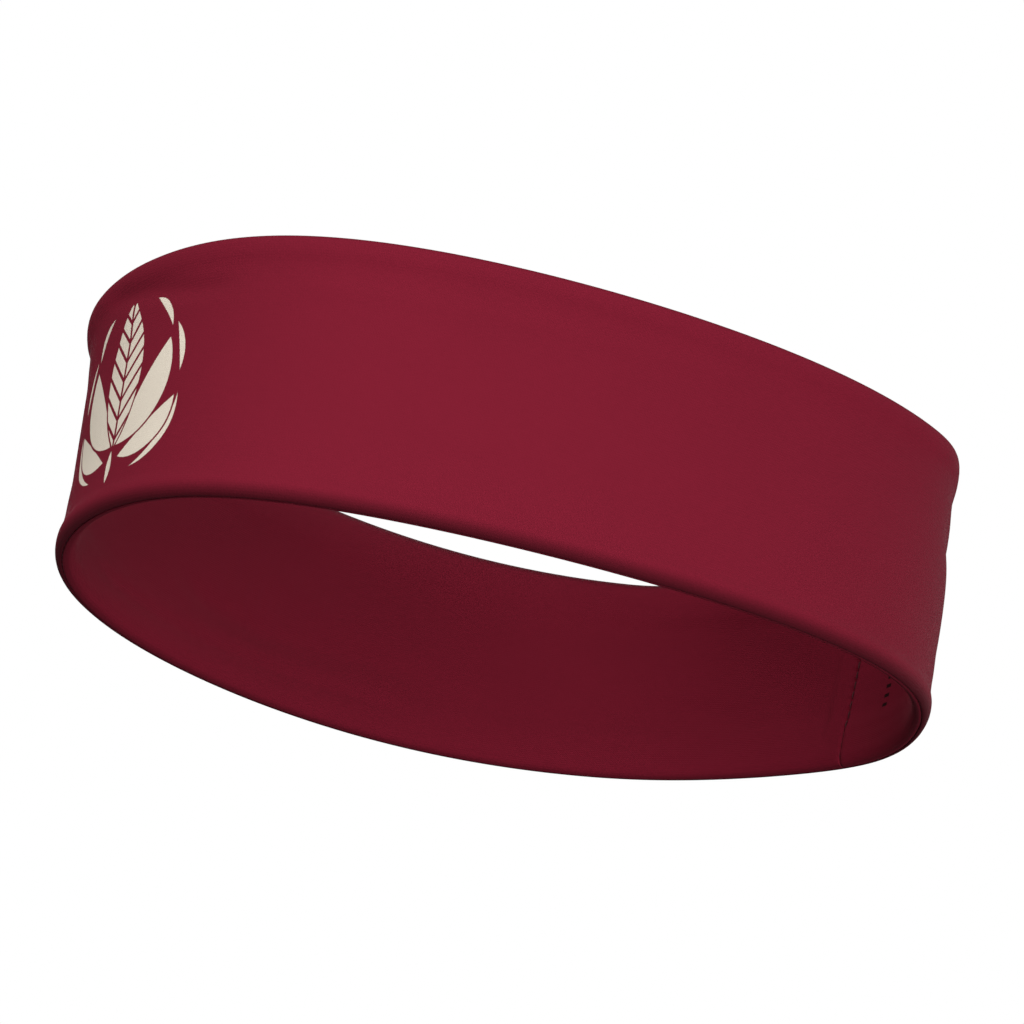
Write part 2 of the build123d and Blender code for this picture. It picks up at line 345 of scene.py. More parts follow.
@dataclass(frozen=True)
class JerseyFinish:
    """Fine knitted jersey: wales, courses, melange and soft sheen, with painted shade darkening its colour along both
    long edges.
    """

    name: str
    colour: Colour
    crest: PlantCrest | None = None
    dashes: SizeDashes | None = None
    wale: float = 0.62
    course: float = 0.5
    relief: float = 0.16
    rough: float = 0.86
    specular: float = 0.1
    sheen: float = 0.03
    sheen_rough: float = 0.45
    sheen_tint: Colour = shade(236, 176, 184)
    melange: float = 0.16
    cloud: float = 0.10
    # Painted shade at the lower and top edges: how much darker the colour grows at the edge, and over how many mm.
    low_edge_shade: tuple[float, float] = (0.0, 1.0)
    high_edge_shade: tuple[float, float] = (0.0, 1.0)
    height: float = 54.0
    seam_run: float = 287.0
    pucker: float = 0.5
    pucker_deep: float = 0.25
    pucker_pitch: float = 2.6
    pucker_reach: tuple[float, float] = (3.2, 0.3)

    def knit(self, nodes: Nodes, run: Any, level: Any) -> Socket:
        """Height of the knit's loops, 0 to 1: two slanted legs in each wale."""
        leg = nodes.off(nodes.math("FRACT", nodes.math("DIVIDE", run, self.wale)), 0.5)
        round_leg = nodes.wave(leg, 1.0)
        slanted = nodes.scaled(leg, 0.9 * self.course, level)
        crossed = nodes.scaled(nodes.wave(slanted, self.course), 0.22, 0.22)
        return nodes.math("ADD", nodes.times(round_leg, 0.55), crossed)

    def material(self) -> bpy.types.Material:
        """Build the cloth's material, read from the Cloth map in mm along and up the band."""
        made, nodes = start_material(self.name)
        cloth = nodes.add("ShaderNodeUVMap", uv_map="Cloth").outputs[0]
        run, level = nodes.parts(cloth)[:2]
        fine, stitch, broad = (nodes.less(nodes.noise(cloth, *grain), 0.5)
                               for grain in ((1.6, 2.0, 0.6), (3.1, 1.0, 0.5), (0.035, 3.0, 0.55)))
        loops = self.knit(nodes, run, level)
        tone = nodes.fold("ADD", 1.0, nodes.times(stitch, self.melange), nodes.times(broad, self.cloud),
                          nodes.scaled(loops, 0.10, -0.05))
        up = nodes.scaled(fine, 0.5, level)
        # Painted shade: the colour darkens towards both long edges, standing in for the shade in the rolled folds.
        for inside, (depth, reach) in ((up, self.low_edge_shade), (nodes.less(self.height, up), self.high_edge_shade)):
            painted_shade = nodes.times(nodes.ramp(inside, reach, 0.0), -depth)
            tone = nodes.times(tone, nodes.math("ADD", painted_shade, 1.0))
        ground = nodes.toned(self.colour, tone)
        if self.crest:
            dye = self.crest.mask(nodes, run, level, fine)
            ground = nodes.mix(dye, ground, nodes.toned(self.crest.colour, tone))
        if self.dashes:
            ground = nodes.mix(self.dashes.mask(nodes, run, level), ground, (*self.dashes.colour, 1.0))
        lift = nodes.fold("ADD", loops, nodes.times(fine, 0.5), nodes.times(stitch, 0.35))
        near = nodes.less(self.seam_run, nodes.math("ABSOLUTE", run))
        wave = nodes.times(nodes.wave(level, self.pucker_pitch), self.pucker)
        pulled = nodes.times(nodes.ramp(near, *self.pucker_reach), wave)
        normal = nodes.bump(pulled, self.pucker_deep, 0.8, nodes.bump(lift, self.relief, 0.6))
        dull = nodes.math("MULTIPLY_ADD", stitch, 0.10, self.rough, clamp=True)
        nodes.skin(ground, dull, self.specular, normal, Sheen_Weight=self.sheen,
                   Sheen_Roughness=self.sheen_rough, Sheen_Tint=(*self.sheen_tint, 1.0))
        return made


@dataclass(frozen=True)
class ThreadFinish:
    """Spun sewing thread: a twisted sheen over a slightly uneven dye."""

    name: str
    colour: Colour
    rough: float = 0.62
    specular: float = 0.4
    sheen: float = 0.15
    twist: float = 5200.0
    twist_deep: float = 0.04
    patches: float = 900.0

    def material(self) -> bpy.types.Material:
        """Build the thread's material on object coordinates."""
        made, nodes = start_material(self.name)
        place = nodes.add("ShaderNodeTexCoord").outputs["Object"]
        slant = nodes.fold("ADD", *nodes.parts(place))
        wave = nodes.math("SINE", nodes.times(slant, self.twist * 2))
        patch = nodes.noise(place, self.patches)
        tone = nodes.fold("ADD", 0.9, nodes.times(patch, 0.2), nodes.times(wave, 0.06))
        dull = nodes.scaled(patch, 0.12, self.rough - 0.06)
        nodes.skin(nodes.toned(self.colour, tone), dull, self.specular, nodes.bump(wave, self.twist_deep, 0.5),
                   Sheen_Weight=self.sheen)
        return made


@dataclass(frozen=True)
class RibbonFinish:
    """Satin label ribbon with a fine twill and plain printed bars and rings, in mm from its sewn end."""

    name: str
    colour: Colour = shade(228, 224, 216)
    ink: Colour = shade(38, 36, 40)
    rough: float = 0.42
    specular: float = 0.5
    sheen: float = 0.1
    thread: float = 0.28
    thread_deep: float = 0.03
    ring_line: float = 0.16
    soft_edge: float = 0.06
    bars: tuple[tuple[float, float, float, float], ...] = (
        (9.5, 21.0, 11.4, 12.0), (9.5, 17.0, 9.6, 10.1), (9.5, 19.0, 8.1, 8.6),
        (9.5, 15.5, 6.6, 7.1), (9.5, 20.2, 3.0, 3.5),
    )
    rings: tuple[tuple[float, float, float], ...] = ((26.5, 10.6, 1.7), (26.5, 4.6, 1.7), (31.6, 4.6, 1.7))

    def printed(self, nodes: Nodes, run: Any, level: Any) -> Socket:
        """Where ink is: plain bars and open rings."""
        shapes = []
        for low, high, floor, roof in self.bars:
            wide = nodes.less(nodes.off(run, (low + high) / 2), (high - low) / 2)
            tall = nodes.less(nodes.off(level, (floor + roof) / 2), (roof - floor) / 2)
            shapes.append(nodes.math("MAXIMUM", wide, tall))
        place = nodes.place(run, level, 0.0)
        for x, y, radius in self.rings:
            shapes.append(nodes.less(nodes.off(nodes.far(place, (x, y, 0.0)), radius), self.ring_line))
        return nodes.ramp(nodes.fold("MINIMUM", *shapes), self.soft_edge, -self.soft_edge)

    def material(self) -> bpy.types.Material:
        """Build the ribbon's material, read from the Cloth map in mm."""
        made, nodes = start_material(self.name)
        cloth = nodes.add("ShaderNodeUVMap", uv_map="Cloth").outputs[0]
        run, level = nodes.parts(cloth)[:2]
        warp = nodes.wave(nodes.math("ADD", run, level), self.thread)
        weft = nodes.wave(level, self.thread)
        patch = nodes.noise(cloth, 0.6, 3.0)
        tone = nodes.fold("ADD", 0.94, nodes.times(patch, 0.1), nodes.times(warp, 0.02))
        face = nodes.mix(self.printed(nodes, run, level), nodes.toned(self.colour, tone), (*self.ink, 1.0))
        lift = nodes.scaled(warp, 0.6, nodes.times(weft, 0.4))
        dull = nodes.scaled(patch, 0.14, self.rough - 0.07)
        nodes.skin(face, dull, self.specular, nodes.bump(lift, self.thread_deep, 0.5), Sheen_Weight=self.sheen)
        return made


@dataclass(frozen=True)
class FloorFinish:
    """Pale studio floor, open from below so that a low camera sees the band through it."""

    name: str = "pale_floor"
    colour: Colour = (0.09, 0.09, 0.089)
    glow: float = 0.83

    def material(self) -> bpy.types.Material:
        """Build the floor's one-sided material."""
        made, nodes = start_material(self.name)
        place = nodes.add("ShaderNodeTexCoord").outputs["Object"]
        tone = nodes.scaled(nodes.noise(place, 6.0, 3.0), 0.02, 0.99)
        lit = nodes.add("ShaderNodeBsdfDiffuse", {"Color": nodes.toned(self.colour, tone), "Roughness": 0.6})
        glow = nodes.add("ShaderNodeEmission", {"Color": (1.0, 1.0, 1.0, 1.0), "Strength": self.glow})
        top = nodes.add("ShaderNodeAddShader", {0: lit.outputs[0], 1: glow.outputs[0]})
        under = nodes.add("ShaderNodeBsdfTransparent")
        back = nodes.add("ShaderNodeNewGeometry").outputs["Backfacing"]
        pick = nodes.add("ShaderNodeMixShader", {0: back, 1: top.outputs[0], 2: under.outputs[0]})
        nodes.add("ShaderNodeOutputMaterial", {"Surface": pick.outputs[0]})
        return made


# ---------------------------------------------------------------- the wall


@dataclass(frozen=True)
class Fold:
    """A soft ridge, or with a negative height a hollow, along a line of (run, level) points in mm."""

    line: tuple[Point2, ...]
    height: float
    width: float
    taper: float = 12.0

    def lift(self, run: Array, level: Array) -> Array:
        """How far the fold moves the cloth at each place, fading at its ends."""
        nearest = np.full(run.shape, 1e9)
        along = np.zeros(run.shape)
        points = np.array(self.line)
        lengths = np.linalg.norm(np.diff(points, axis=0), axis=1)
        before = np.concatenate([[0.0], np.cumsum(lengths)])
        for start, end, length, passed in zip(points[:-1], points[1:], lengths, before[:-1]):
            way = (end - start) / length
            t = np.clip((run - start[0]) * way[0] + (level - start[1]) * way[1], 0, length)
            gap = np.hypot(run - start[0] - t * way[0], level - start[1] - t * way[1])
            closer = gap < nearest
            nearest = np.where(closer, gap, nearest)
            along = np.where(closer, passed + t, along)
        fade = ease(along / self.taper) * ease((before[-1] - along) / self.taper)
        return self.height * fade * np.exp(-((nearest / self.width) ** 2))


@dataclass(frozen=True)
class Tuck:
    """A part of the loop slid along Y, by low mm at the lower edge and high mm at the top.

    It holds fully out to a turn of full from its middle and fades to nothing at none. With a rise it also
    fades within that turn of its middle, where the back seam keeps to its place.
    """

    rise: float
    full: float
    none: float
    low: float
    high: float
    power: float
    middle: float = 0.0

    def slide(self, turned: Array, share: Array | float) -> Array:
        """How far the loop slides along Y.

        Args:
            turned: turn round the loop from the back or the front.
            share: 0 at the lower edge, 1 at the top edge.

        Returns:
            The slide of each place in mm.
        """
        aside = np.abs(np.mod(turned - self.middle + math.pi, 2 * math.pi) - math.pi)
        hold = 1 - ease((aside - self.full) / (self.none - self.full))
        if self.rise > 0:
            hold = hold * ease(aside / self.rise)
        return (self.low + (self.high - self.low) * np.clip(share, 0, 1) ** self.power) * hold


@dataclass
class Wall:
    """The band's standing wall: its egg-shaped plan, lean, bowed edges, flare and soft folds, all in mm."""

    height: float = 54.0
    raised: float = 2.3
    length_waves: tuple[float, ...] = (104.35, 10.78, -3.224, 0.184, 0.113)
    width_waves: tuple[float, ...] = (70.16, 9.893, -0.680, -0.443, -0.270)
    centre: float = 12.99
    wider: float = 1.0679
    longer: float = 1.0626
    slid: float = 3.37
    low_bow: float = 2.263
    high_bow: float = 1.118
    top_flare: float = 2.0
    low_flare: float = 1.1
    flare_reach: float = 10.5
    back_tuck: Tuck = Tuck(0.38, 0.42, 0.87, -1.6, -11.0, 3.2, -0.13)
    front_tuck: Tuck = Tuck(0.0, 0.1, 1.1, 0.3, 0.9, 1.0)
    folds: tuple[Fold, ...] = (
        Fold(((-14.0, 50.6), (6.8, 47.2), (19.3, 44.6), (32.0, 44.4)), -0.85, 2.0, 9.0),
        Fold(((34.0, 44.0), (72.7, 43.6), (103.0, 44.2), (150.0, 45.6)), 0.27, 1.7, 20.0),
        Fold(((-48.0, 8.6), (-73.0, 8.0), (-97.5, 7.8), (-121.4, 8.2), (-168.0, 9.2)), 0.59, 2.2, 16.0),
        Fold(((-84.0, 20.4), (-100.0, 17.2), (-119.3, 16.0), (-149.0, 18.0), (-176.0, 18.6)), 0.94, 3.0, 16.0),
        Fold(((-112.0, 30.0), (-140.0, 26.5), (-165.0, 27.5)), -0.42, 4.0, 14.0),
        Fold(((60.0, 14.0), (96.0, 11.5), (140.0, 13.0)), -0.31, 3.2, 16.0),
        Fold(((205.0, 40.0), (232.0, 37.0), (262.0, 38.5)), -0.59, 3.4, 14.0),
        Fold(((-262.0, 15.0), (-236.0, 18.5), (-212.0, 17.0)), 0.59, 3.2, 14.0),
    )
    samples: int = 8192
    total: float = field(init=False)

    def __post_init__(self) -> None:
        """Measure the plan at mid height."""
        self._turn = np.linspace(0, 2 * math.pi, self.samples + 1)
        x, y = self.plan(self._turn, 0.5)
        steps = np.hypot(np.diff(x), np.diff(y))
        self._run = np.concatenate([[0.0], np.cumsum(steps)])
        self.total = float(self._run[-1])
        self._run -= np.interp(math.pi, self._turn, self._run)

    @property
    def half(self) -> float:
        """Half the way round, from the front to the back."""
        return self.total / 2

    def plan(self, turn: Array, share: Array | float) -> tuple[Array, Array]:
        """Plan place at a share of the height, x across and y from front to back.

        Args:
            turn: angle-like place round the loop, 0 at the back.
            share: 0 at the lower edge, 1 at the top edge.

        Returns:
            The x and y of each place.
        """
        along = sum(c * np.cos((k + 1) * turn) for k, c in enumerate(self.length_waves))
        aside = sum(c * np.sin((k + 1) * turn) for k, c in enumerate(self.width_waves))
        along = along * (1 + (self.longer - 1) * share) + self.slid * share - self.centre
        along = along + self.back_tuck.slide(turn, share) + self.front_tuck.slide(turn - math.pi, share)
        return -aside * (1 + (self.wider - 1) * share), along

    def turn_at(self, run: Array) -> Array:
        """The loop's angle at a run, going on past the back."""
        shifted = np.mod(run + self.half, self.total) - self.half
        return np.interp(shifted, self._run, self._turn)

    def flare(self, level: Array) -> Array:
        """How far the wall's middle stands outwards near its edges, less its flare there."""
        share = level / self.height
        low = np.clip(1 - level / self.flare_reach, 0, 1) ** 2
        high = np.clip(1 - (self.height - level) / self.flare_reach, 0, 1) ** 2
        inset = self.low_flare * (1 - share) + self.top_flare * share
        return -inset * (1 - low) * (1 - high)

    def point(self, run: Array, level: Array, depth: Array) -> Array:
        """Places in mm in the frame.

        Args:
            run: distance along the loop from the front, positive towards +X.
            level: height on the wall, 0 to its height.
            depth: distance outwards from the wall's middle.

        Returns:
            An array whose last side holds x, y and z.
        """
        run, level, depth = np.broadcast_arrays(*map(np.asarray, (run, level, depth)))
        turn = self.turn_at(run)
        share = level / self.height
        x, y = self.plan(turn, share)
        step = 1e-4
        ahead, behind = self.plan(turn + step, share), self.plan(turn - step, share)
        tx, ty = ahead[0] - behind[0], ahead[1] - behind[1]
        size = np.hypot(tx, ty)
        away = depth + self.flare(level) + sum(f.lift(run, level) for f in self.folds)
        bow = np.cos(2 * turn)
        low = self.raised + self.low_bow * bow
        high = self.raised + self.height + self.high_bow * bow
        z = low + (high - low) * share
        return np.stack([x + ty / size * away, y - tx / size * away, z], axis=-1)


def quads(near: Array, far: Array, way: int = 1) -> list[list[int]]:
    """Faces between matching lines of corners, turned over when way is -1."""
    return np.stack([near[:-1], near[1:], far[1:], far[:-1]], -1).reshape(-1, 4)[:, ::way].tolist()


def shell_faces(grid: Array, way: int = 1) -> list[list[int]]:
    """Faces of a sheet's skin and back and of its two long rims.

    Args:
        grid: corner numbers by skin or back, column and row.
        way: 1, or -1 to turn every face over.

    Returns:
        The corner numbers of each face.
    """
    skin, back = grid
    rims = quads(skin[:, 0], back[:, 0], -way) + quads(skin[:, -1], back[:, -1], way)
    return quads(skin[:, :-1], skin[:, 1:], way) + quads(back.T[:, :-1], back.T[:, 1:], way) + rims


def mesh_piece(name: str, points: Sequence[Array], faces: Sequence[Sequence[int]],
               material: bpy.types.Material, cloth: Sequence[Array]) -> bpy.types.Object:
    """Make a smooth mesh piece at the origin.

    Args:
        name: the piece's name.
        points: arrays of its corners in mm.
        faces: corner numbers of each face.
        material: its only material.
        cloth: arrays of each corner's place on the cloth in mm, for the Cloth map.

    Returns:
        The new object, its faces turned outwards.
    """
    mesh = bpy.data.meshes.new(name)
    flat = np.concatenate([part.reshape(-1, 3) for part in points]) * MM
    mesh.from_pydata(flat.tolist(), [], faces)
    mesh.validate()
    mesh.calc_loop_triangles()
    corners = np.zeros(len(mesh.loop_triangles) * 3, int)
    mesh.loop_triangles.foreach_get("vertices", corners)
    a, b, c = (flat[corners[i::3]] for i in range(3))
    if float((a * np.cross(b, c)).sum()) < 0:
        mesh.flip_normals()
    mesh.polygons.foreach_set("use_smooth", [True] * len(mesh.polygons))
    mesh.materials.append(material)
    loops = np.zeros(len(mesh.loops), int)
    mesh.loops.foreach_get("vertex_index", loops)
    places = np.concatenate([part.reshape(-1, 2) for part in cloth])
    mesh.uv_layers.new(name="Cloth").data.foreach_set("uv", places[loops].astype(np.float32).ravel())
    mesh.update()
    return link(name, mesh)


def stretch_along(piece: bpy.types.Object) -> None:
    """Bake a piece's placement into its mesh."""
    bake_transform(piece)


# ---------------------------------------------------------------- the two layers


@dataclass
class Layer:
    """One jersey layer: a strip turned in along both edges, its ends sewn together at the back."""

    side: Side
    name: str
    node: str
    wall: Wall
    finish: JerseyFinish
    slot: Slot
    bead: float
    bead_tall: float
    body: float
    allowance: tuple[Point2, ...]
    seam_at: float
    seam_turn: int
    thickness: float = 0.75
    gap: float = 0.06
    turned_in: float = 9.0
    corner: float = 0.24
    seam_rise: float = 2.0
    seam_ditch: float = 0.45
    ditch_width: float = 0.6
    ridge: tuple[Point2, ...] = (
        (-40.0, 0.0), (-2.4, 0.0), (1.6, 0.75), (4.3, 1.0), (5.3, 0.9), (7.4, 0.0), (40.0, 0.0))
    tail_rows: tuple[float, float] = (10.5, 43.5)
    seam_close: float = 0.37
    columns: int = 400
    face_rows: int = 54
    near_seam: tuple[float, ...] = (0.4, 0.75, 1.15, 1.6, 2.1, 2.7, 3.4, 4.2, 5.1, 6.1, 7.2, 8.4, 9.7)
    far_from_seam: float = 11.0

    def swell(self, level: Array) -> Array:
        """Depth of the skin from the wall's middle, without the rolled edge."""
        inside = np.minimum(level, self.wall.height - level)
        along = through(np.maximum(inside, self.bead_tall), (*self.allowance, (99.0, self.body)))
        return np.where(inside < self.bead_tall, self.bead, along)

    def seam_swell(self, beside: Array, skin: Array) -> Array:
        """Depth of the skin near the back seam: a ridge over the turned ends and a narrow ditch.

        Args:
            beside: distance from the seam, positive on the side that the ends are turned to.
            skin: the depth without the seam.

        Returns:
            The depth with it.
        """
        ridge = through(np.clip(beside, self.ridge[0][0], self.ridge[-1][0]), self.ridge)
        raised = skin + (np.maximum(self.seam_rise, skin) - skin) * ridge
        return raised - self.seam_ditch * np.exp(-((beside / self.ditch_width) ** 2))

    def section(self) -> tuple[Array, Array]:
        """The ply's section in (depth, level) for the outer side, as skin and back points.

        Returns:
            Two arrays with one row for each point from the lower raw edge to the top one.
        """
        t, tall, first, corner = self.thickness, self.bead_tall, self.gap, self.corner
        skin, back = [], []
        for e in np.linspace(self.turned_in, 1.2, 5):
            skin.append((first, e))
            back.append((first + t, max(e, t + 0.2)))
        for turn in (0.0, 0.5, 1.0):
            angle = turn * math.pi / 2
            skin.append((first + corner * (1 - math.cos(angle)), corner * (1 - math.sin(angle))))
            back.append((first + t + 0.03 * turn, t + 0.16 - 0.12 * turn))
        start, inner = first + corner, first + t + 0.05
        for step in range(1, 8):
            angle = step / 7 * math.pi / 2
            skin.append((start + (self.bead - start) * math.sin(angle), tall * (1 - math.cos(angle))))
            back.append((inner + (self.bead - t - inner) * math.sin(angle), t + (tall - t) * (1 - math.cos(angle))))
        levels = np.linspace(tall, self.wall.height - tall, self.face_rows + 2)[1:-1]
        made = []
        for low, sunk in ((np.array(skin), 0.0), (np.array(back), t)):
            high = low[::-1] * (1, -1) + (0, self.wall.height)
            made.append(np.concatenate([low, np.stack([self.swell(levels) - sunk, levels], 1), high]))
        return made[0], made[1]

    def stations(self) -> Array:
        """Distances along the strip from its seam round to its seam, closer together at both ends."""
        close = np.array(self.near_seam)
        long = np.linspace(self.far_from_seam, self.wall.total - self.far_from_seam, self.columns)
        return np.concatenate([close, long, self.wall.total - close[::-1]])

    def depths(self, run: Array, part: Array, face: Array) -> Array:
        """Signed depth of every section point at every run.

        Args:
            run: distances along the loop.
            part: section points in (depth, level).
            face: which points belong to the visible face, 0 or 1.

        Returns:
            Depths, one line for each run.
        """
        base = np.broadcast_to(part[:, 0], (len(run), len(part)))
        change = self.seam_swell(self.beside(run)[:, None], base) - base
        return self.side.value * (base + change * face)

    def beside(self, run: Array) -> Array:
        """Signed distance from the back seam, positive on the side that its ends are turned to."""
        aside = np.mod(self.wall.half - run + self.wall.half, self.wall.total) - self.wall.half
        return self.seam_turn * (aside - self.seam_at)

    def run_at(self, beside: Array | float) -> Array | float:
        """Run at a signed distance from the back seam."""
        return self.wall.half - (self.seam_at + self.seam_turn * beside)

    def mesh(self) -> bpy.types.Object:
        """Build the strip, with the tails of its turned ends between the layers."""
        skin, back = self.section()
        rows, (low, high) = len(skin), self.tail_rows
        edge = np.minimum(skin[:, 1], self.wall.height - skin[:, 1])
        face = np.where(skin[:, 0] > self.gap + 0.3, 1.0, 0.0) * ease((edge - 0.2) / 1.5)
        sewn = np.flatnonzero((face > 0.99) & (skin[:, 1] >= low) & (skin[:, 1] <= high))
        loose = np.setdiff1d(np.arange(rows), sewn)
        run = self.stations() - (self.wall.half + self.seam_at)
        spread = np.repeat(run[:, None], rows, 1)
        spread[0, loose] -= self.seam_close
        spread[-1, loose] += self.seam_close
        points = [self.wall.point(spread, part[None, :, 1], self.depths(run, part, face)) for part in (skin, back)]
        levels = np.where(skin[:, 0] > self.gap + 0.1, skin[:, 1], -edge)
        cloth = np.stack(np.broadcast_arrays(run[:, None], levels[None, :]), -1)
        maps = [cloth, cloth]
        grid = np.arange(2 * len(run) * rows).reshape(2, len(run), rows)
        faces, used = shell_faces(grid), grid.size
        for end, way in ((0, 1), (-1, -1)):
            for part in (np.arange(sewn[0] + 1), np.arange(sewn[-1], rows)):
                faces += quads(grid[0, end, part], grid[1, end, part], way)
            beside, depth = np.array(self.tail(end == 0)).transpose(2, 1, 0)[..., None]
            tails = self.wall.point(self.run_at(beside), skin[sewn, 1], self.side.value * depth)
            fresh = used + np.arange(tails[..., 0].size).reshape(tails.shape[:-1])
            used += fresh.size
            faces += shell_faces(np.concatenate([grid[:, end, sewn][:, None], fresh], axis=1), -way)
            faces += quads(fresh[0, -1], fresh[1, -1], way)
            points.append(tails)
            maps.append(np.broadcast_to(cloth[end, sewn], (*fresh.shape, 2)))
        return mesh_piece(self.name, points, faces, self.finish.material(), maps)

    def tail(self, low_run: bool) -> list[tuple[Point2, Point2]]:
        """The turned end's path as (beside, depth) of its skin and back.

        Args:
            low_run: whether this is the end where the strip starts.

        Returns:
            Pairs of places; the end on the turned side folds back on itself, the other goes under it.
        """
        if low_run == (self.seam_turn < 0):
            return [((0.05, 1.0), (0.44, 0.68)), ((0.05, 0.3), (0.5, 0.66)),
                    ((0.5, 0.0), (0.9, 0.68)), ((5.5, 0.0), (5.5, 0.7))]
        return [((-0.05, 1.0), (-0.74, 0.6)), ((-0.05, 0.35), (-0.76, -0.2)),
                ((0.5, -0.04), (-0.5, -0.74)), ((5.5, -0.04), (5.5, -0.74))]

    def build(self) -> bpy.types.Object:
        """Build and dress the layer, and bake its placement into its mesh."""
        made = self.mesh()
        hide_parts(self.node)
        stretch_along(made)
        return made


# ---------------------------------------------------------------- threads and other rows


class UnitShape(Enum):
    """What is repeated along a row, with the sides of its profile."""

    STRAIGHT = 6
    LOOP = 4
    TAB = 0


@dataclass
class Row:
    """A row of small shapes that Geometry Nodes repeat along a path, each turned to the cloth."""

    name: str
    node: str | None
    path: Array
    across: Array
    shape: UnitShape
    finish: ThreadFinish | bpy.types.Material
    slot: Slot
    closed: bool = False
    pitch: float = 2.6
    long: float = 1.9
    wide: float = 1.8
    tall: float = 2.9
    thread: float = 0.14
    uneven: float = 0.05
    seed: int = 3
    loop_slant: float = 14.0

    def guide(self) -> bpy.types.Object:
        """Make the path as loose edges with the across direction on each point."""
        mesh = bpy.data.meshes.new(self.name + "_guide")
        count = len(self.path)
        edges = [(i, i + 1) for i in range(count - 1)] + ([(count - 1, 0)] if self.closed else [])
        mesh.from_pydata((self.path * MM).tolist(), edges, [])
        lay = mesh.attributes.new("across", "FLOAT_VECTOR", "POINT")
        lay.data.foreach_set("vector", self.across.astype(np.float32).ravel())
        return link(self.name, mesh)

    def tree(self) -> bpy.types.NodeTree:
        """Build the tree: path in, shapes out, ending in Realize Instances and Set Material."""
        tree = bpy.data.node_groups.new(self.name + "_tree", "GeometryNodeTree")
        sockets = {"Path": "Geometry"} | dict.fromkeys(("Pitch", "Long", "Wide", "Tall", "Thread", "Uneven"), "Float")
        for label, kind in (sockets | {"Seed": "Int", "Material": "Material"}).items():
            tree.interface.new_socket(label, in_out="INPUT", socket_type="NodeSocket" + kind)
        tree.interface.new_socket("Row", in_out="OUTPUT", socket_type="NodeSocketGeometry")
        nodes = Nodes(tree)
        given = nodes.add("NodeGroupInput").outputs
        curve = nodes.add("GeometryNodeMeshToCurve", {0: given["Path"]}).outputs[0]
        spaced = nodes.add("GeometryNodeResampleCurve", {"Curve": curve, "Length": given["Pitch"]}, mode="LENGTH")
        forward = nodes.add("GeometryNodeInputTangent").outputs[0]
        across = nodes.add("GeometryNodeInputNamedAttribute", {"Name": "across"}, data_type="FLOAT_VECTOR").outputs[0]
        aim = "FunctionNodeAlignRotationToVector"
        aimed = nodes.add(aim, {"Vector": forward}, axis="X").outputs[0]
        laid = nodes.add(aim, {"Rotation": aimed, "Vector": across}, axis="Z", pivot_axis="X").outputs[0]
        least = nodes.times(given["Uneven"], -1.0)
        sway = nodes.add("FunctionNodeRandomValue", {2: least, 3: given["Uneven"], "Seed": given["Seed"]},
                         data_type="FLOAT").outputs[1]
        turn = nodes.add("FunctionNodeEulerToRotation", {0: nodes.place(sway, 0.0, sway)}).outputs[0]
        swayed = nodes.add("FunctionNodeRotateRotation", {"Rotation": laid, 1: turn}, rotation_space="LOCAL")
        placed = nodes.add("GeometryNodeInstanceOnPoints", {
            "Points": spaced.outputs[0], "Instance": self.unit(nodes, given), "Rotation": swayed.outputs[0]})
        real = nodes.add("GeometryNodeRealizeInstances", {0: placed.outputs[0]}).outputs[0]
        if self.shape is not UnitShape.TAB:
            real = nodes.add("GeometryNodeSetShadeSmooth", {0: real}).outputs[0]
        dressed = nodes.add("GeometryNodeSetMaterial", {"Geometry": real, "Material": given["Material"]})
        nodes.add("NodeGroupOutput", {0: dressed.outputs[0]})
        return tree

    def unit(self, nodes: Nodes, given: Any) -> Socket:
        """The mesh of one shape: a box, or a thread along its line."""
        if self.shape is UnitShape.TAB:
            size = nodes.place(given["Long"], given["Wide"], given["Tall"])
            return nodes.add("GeometryNodeMeshCube", {
                "Size": size, "Vertices X": 3, "Vertices Y": 3, "Vertices Z": 2}).outputs[0]
        line = self.straight(nodes, given) if self.shape is UnitShape.STRAIGHT else self.looped(nodes, given)
        ring = nodes.add("GeometryNodeCurvePrimitiveCircle", {
            "Resolution": self.shape.value, "Radius": given["Thread"]}).outputs[0]
        feeds = {"Curve": line, "Profile Curve": ring, "Fill Caps": True}
        return nodes.add("GeometryNodeCurveToMesh", feeds).outputs[0]

    def straight(self, nodes: Nodes, given: Any) -> Socket:
        """One straight stitch: a shallow arch with both ends sunk."""
        half = nodes.times(given["Long"], 0.5)
        back, sunk = nodes.times(half, -1.0), nodes.times(given["Tall"], -1.0)
        corners = ((back, sunk), (nodes.times(back, 0.7), given["Tall"]),
                   (nodes.times(half, 0.7), given["Tall"]), (half, sunk))
        feeds = {"Resolution": 5}
        for key, (x, z) in zip(("Start", "Start Handle", "End Handle", "End"), corners):
            feeds[key] = nodes.place(x, 0.0, z)
        return nodes.add("GeometryNodeCurvePrimitiveBezierSegment", feeds, mode="POSITION").outputs[0]

    def looped(self, nodes: Nodes, given: Any) -> Socket:
        """One looper loop round the raw edges: an upright oval ring, set aslant."""
        ring = nodes.add("GeometryNodeCurvePrimitiveCircle", {"Resolution": 12, "Radius": 1.0}).outputs[0]
        size = nodes.place(nodes.times(given["Tall"], 0.5), nodes.times(given["Wide"], 0.5), 1.0)
        oval = nodes.add("GeometryNodeTransform", {"Geometry": ring, "Scale": size}).outputs[0]
        slant = (0.0, math.radians(90 - self.loop_slant), 0.0)
        return nodes.add("GeometryNodeTransform", {"Geometry": oval, "Rotation": slant}).outputs[0]

